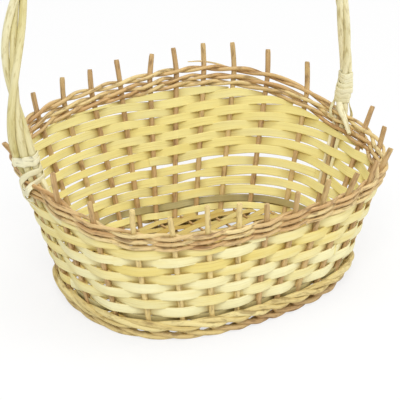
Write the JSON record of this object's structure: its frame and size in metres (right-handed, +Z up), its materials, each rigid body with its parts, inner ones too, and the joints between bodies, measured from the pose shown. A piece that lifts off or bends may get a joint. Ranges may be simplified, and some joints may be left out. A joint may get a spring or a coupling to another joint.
{
  "type": "gift basket",
  "caption": "Oval hand-woven gift basket with upright stakes, flat splint rows, a twined border, a raised back and a tall twisted handle lashed on at both ends.",
  "frame": {"origin": "middle of the basket's bounding box in plan, on the level it stands on", "axes": "+X to the right handle foot, +Y to the high back wall, +Z up"},
  "size_m": [0.3894, 0.2884, 0.4493],
  "materials": {
    "stake_willow": "smooth peeled brown willow, satin, with fine grain along each rod",
    "border_willow": "thin tan willow rods, satin, with darker twist lines",
    "wale_willow": "pale green-tan willow rods, satin",
    "wall_splint": "flat shaved splint, pale yellow, matt with straight grain",
    "handle_willow": "peeled pale willow rods, satin, with long grain lines",
    "lashing_skein": "flat shaved skein, pale cream, satin",
    "stick_willow": "smooth peeled brown willow, satin",
    "floor_splint": "woven flat splint, pale yellow, matt"
  },
  "bodies": {
    "root": {"stake_01": "stake_willow", "stake_02": "stake_willow", "stake_03": "stake_willow", "stake_04": "stake_willow", "stake_05": "stake_willow", "stake_06": "stake_willow", "stake_07": "stake_willow", "stake_08": "stake_willow", "stake_09": "stake_willow", "stake_10": "stake_willow", "stake_11": "stake_willow", "stake_12": "stake_willow", "stake_13": "stake_willow", "stake_14": "stake_willow", "stake_15": "stake_willow", "stake_16": "stake_willow", "stake_17": "stake_willow", "stake_18": "stake_willow", "stake_19": "stake_willow", "stake_20": "stake_willow", "stake_21": "stake_willow", "stake_22": "stake_willow", "stake_23": "stake_willow", "stake_24": "stake_willow", "stake_25": "stake_willow", "stake_26": "stake_willow", "stake_27": "stake_willow", "stake_28": "stake_willow", "wale_rod_1": "wale_willow", "wale_rod_2": "wale_willow", "wale_rod_3": "wale_willow", "border_pair_1_rod_1": "border_willow", "border_pair_1_rod_2": "border_willow", "border_pair_2_rod_1": "border_willow", "border_pair_2_rod_2": "border_willow", "border_pair_3_rod_1": "border_willow", "border_pair_3_rod_2": "border_willow", "splint_row_01": "wall_splint", "splint_row_02": "wall_splint", "splint_row_03": "wall_splint", "splint_row_04": "wall_splint", "splint_row_05": "wall_splint", "splint_row_06": "wall_splint", "splint_row_07": "wall_splint", "splint_row_08": "wall_splint", "splint_row_09": "wall_splint", "splint_row_10": "wall_splint", "splint_row_11": "wall_splint", "splint_row_12": "wall_splint", "splint_row_13": "wall_splint", "handle_rod_1": "handle_willow", "handle_rod_2": "handle_willow", "handle_rod_3": "handle_willow", "lashing_left": "lashing_skein", "lashing_right": "lashing_skein", "floor_stick_1": "stick_willow", "floor_stick_2": "stick_willow", "floor_stick_3": "stick_willow", "floor_mat": "floor_splint"}
  },
  "joints": []
}
